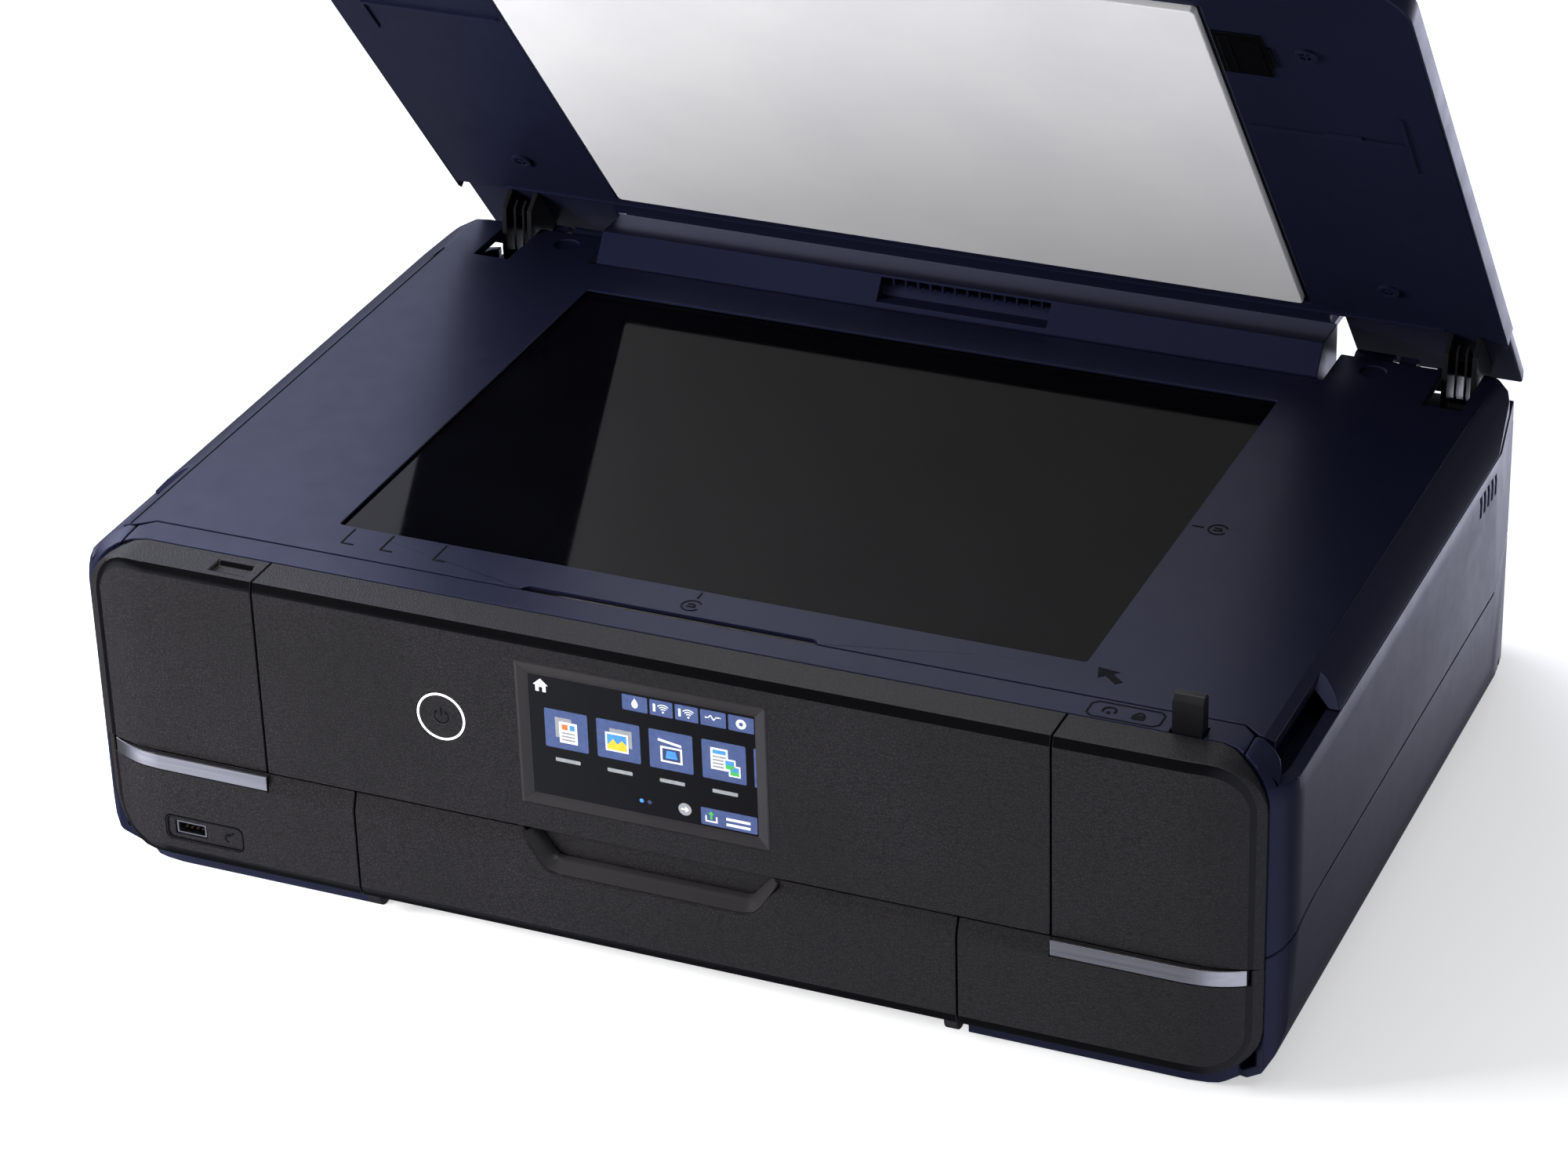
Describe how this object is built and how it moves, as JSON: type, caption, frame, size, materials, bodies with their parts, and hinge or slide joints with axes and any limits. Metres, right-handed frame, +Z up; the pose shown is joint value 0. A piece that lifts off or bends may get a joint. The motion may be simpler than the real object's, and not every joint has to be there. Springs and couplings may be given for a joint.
{
  "type": "inkjet printer",
  "caption": "Desktop inkjet printer with a flatbed scanner, touch screen panel, paper cassettes under a front cover, output tray and rear paper feed.",
  "frame": {"origin": "on the table under the middle of the body", "axes": "+X to the right seen from the front, +Y from front to back, +Z up"},
  "size_m": [0.479, 0.356, 0.3726],
  "materials": {
    "navy_casing": "satin, fine moulded grain",
    "charcoal_panel": "leather-grain face with a gloss black bevel",
    "chrome_trim": "satin chrome",
    "screen": "glossy touch screen",
    "scanner_glass": "polished dark glass",
    "white_mat": "soft white sheet over foam",
    "dark_plastic": "moulded",
    "grey_plastic": "moulded",
    "steel": "zinc-plated sheet",
    "foot_rubber": "matte",
    "cartridge": "moulded with a coloured label",
    "circuit_board": "solder mask"
  },
  "bodies": {
    "housing": {"ledge_trim_left": "chrome_trim", "ledge_trim_right": "chrome_trim", "lower_front_panel_left": "charcoal_panel", "lower_front_panel_right": "charcoal_panel", "usb_socket": "steel", "upper_front_panel_right": "charcoal_panel", "card_reader": "dark_plastic", "side_cover_left": "navy_casing", "side_cover_right": "navy_casing", "base_side_left": "navy_casing", "base_side_right": "navy_casing", "base_floor": "dark_plastic", "front_strip": "navy_casing", "rear_panel": "navy_casing", "duplex_unit": "navy_casing", "power_inlet": "dark_plastic", "foot_front_left": "foot_rubber", "foot_front_right": "foot_rubber", "foot_rear_left": "foot_rubber", "foot_rear_right": "foot_rubber", "rear_feed_hump": "navy_casing", "carriage_frame": "steel", "timing_belt": "foot_rubber", "carriage_motor": "steel", "platen": "dark_plastic", "capping_station": "grey_plastic", "main_board": "circuit_board", "power_supply": "grey_plastic"},
    "scanner_unit": {"scanner_deck": "navy_casing", "scanner_glass": "scanner_glass", "scanner_pan": "dark_plastic"},
    "lid": {"document_lid": "navy_casing", "lid_mat": "white_mat", "lid_hinge_left": "dark_plastic", "lid_hinge_right": "dark_plastic"},
    "scan_bar": {"scan_bar": "dark_plastic"},
    "interlock_pin": {"lid_interlock_pin": "dark_plastic"},
    "control_panel": {"control_panel": "charcoal_panel", "touch_screen": "screen", "panel_back_cover": "dark_plastic"},
    "power_button": {"power_button": "charcoal_panel"},
    "output_tray": {"output_tray": "dark_plastic"},
    "tray_extension": {"output_tray_extension": "dark_plastic"},
    "card_door": {"card_door": "charcoal_panel"},
    "front_cover": {"front_cover": "charcoal_panel"},
    "photo_cassette": {"photo_cassette": "dark_plastic"},
    "paper_cassette": {"paper_cassette": "dark_plastic"},
    "guide_left": {"edge_guide_left": "grey_plastic"},
    "guide_right": {"edge_guide_right": "grey_plastic"},
    "feed_cover": {"rear_feed_cover": "navy_casing"},
    "paper_support": {"paper_support": "grey_plastic"},
    "carriage": {"print_carriage": "dark_plastic", "ink_cartridge_black": "cartridge", "ink_cartridge_cyan": "cartridge", "ink_cartridge_magenta": "cartridge", "ink_cartridge_yellow": "cartridge", "ink_cartridge_light_cyan": "cartridge", "ink_cartridge_light_magenta": "cartridge"},
    "feed_roller": {"feed_roller": "foot_rubber"},
    "exit_roller": {"exit_roller": "foot_rubber"}
  },
  "joints": [
    {"name": "scanner_hinge", "type": "hinge", "parent": "housing", "child": "scanner_unit", "pos_m": [0, 0.15, 0.133], "axis": [-1, 0, 0], "range_deg": [0, 30]},
    {"name": "lid_hinge", "type": "hinge", "parent": "scanner_unit", "child": "lid", "pos_m": [0, 0.1425, 0.1216], "axis": [1, 0, 0], "range_deg": [0, 51.3]},
    {"name": "interlock_pin_slide", "type": "slide", "parent": "housing", "child": "interlock_pin", "axis": [0, 0, -1], "range_m": [0, 0.0085]},
    {"name": "scan_bar_slide", "type": "slide", "parent": "scanner_unit", "child": "scan_bar", "axis": [1, 0, 0], "range_m": [0, 0.284]},
    {"name": "panel_hinge", "type": "hinge", "parent": "housing", "child": "control_panel", "pos_m": [0, -0.162, 0.1355], "axis": [-1, 0, 0], "range_deg": [0, 70]},
    {"name": "output_tray_slide", "type": "slide", "parent": "housing", "child": "output_tray", "axis": [0, -1, 0], "range_m": [0, 0.154]},
    {"name": "tray_extension_slide", "type": "slide", "parent": "output_tray", "child": "tray_extension", "axis": [0, -1, 0], "range_m": [0, 0.105]},
    {"name": "power_button_press", "type": "slide", "parent": "control_panel", "child": "power_button", "axis": [0, 1, 0], "range_m": [0, 0.001], "stiffness_N_per_m": 600},
    {"name": "card_door_hinge", "type": "hinge", "parent": "housing", "child": "card_door", "pos_m": [-0.2323, -0.1687, 0.095], "axis": [0, 0, -1], "range_deg": [0, 90]},
    {"name": "front_cover_hinge", "type": "hinge", "parent": "housing", "child": "front_cover", "pos_m": [0, -0.171, 0.0095], "axis": [1, 0, 0], "range_deg": [0, 90]},
    {"name": "photo_cassette_slide", "type": "slide", "parent": "housing", "child": "photo_cassette", "axis": [0, -1, 0], "range_m": [0, 0.075]},
    {"name": "paper_cassette_slide", "type": "slide", "parent": "housing", "child": "paper_cassette", "axis": [0, -1, 0], "range_m": [0, 0.056]},
    {"name": "guide_left_slide", "type": "slide", "parent": "paper_cassette", "child": "guide_left", "axis": [1, 0, 0], "range_m": [0, 0.05]},
    {"name": "guide_right_slide", "type": "slide", "parent": "paper_cassette", "child": "guide_right", "axis": [-1, 0, 0], "range_m": [0, 0.05]},
    {"name": "feed_cover_hinge", "type": "hinge", "parent": "housing", "child": "feed_cover", "pos_m": [0, 0.173, 0.143], "axis": [-1, 0, 0], "range_deg": [0, 100]},
    {"name": "paper_support_slide", "type": "slide", "parent": "housing", "child": "paper_support", "axis": [0, 0.4226, 0.9063], "range_m": [0, 0.0355]},
    {"name": "carriage_slide", "type": "slide", "parent": "housing", "child": "carriage", "axis": [-1, 0, 0], "range_m": [0, 0.27]},
    {"name": "feed_roller_spin", "type": "hinge", "parent": "housing", "child": "feed_roller", "pos_m": [0, 0.003, 0.077], "axis": [1, 0, 0], "continuous": true},
    {"name": "exit_roller_spin", "type": "hinge", "parent": "housing", "child": "exit_roller", "pos_m": [0, -0.096, 0.075], "axis": [1, 0, 0], "continuous": true}
  ],
  "couplings": [
    {"joint": "interlock_pin_slide", "follows": "lid_hinge", "m_per_rad": 0.009},
    {"joint": "output_tray_slide", "follows": "panel_hinge", "m_per_rad": 0.125},
    {"joint": "tray_extension_slide", "follows": "panel_hinge", "m_per_rad": 0.085},
    {"joint": "photo_cassette_slide", "follows": "front_cover_hinge", "m_per_rad": 0.047},
    {"joint": "paper_cassette_slide", "follows": "front_cover_hinge", "m_per_rad": 0.035},
    {"joint": "guide_right_slide", "follows": "guide_left_slide", "ratio": 1},
    {"joint": "paper_support_slide", "follows": "feed_cover_hinge", "m_per_rad": 0.02},
    {"joint": "exit_roller_spin", "follows": "feed_roller_spin", "ratio": 1.3043}
  ]
}
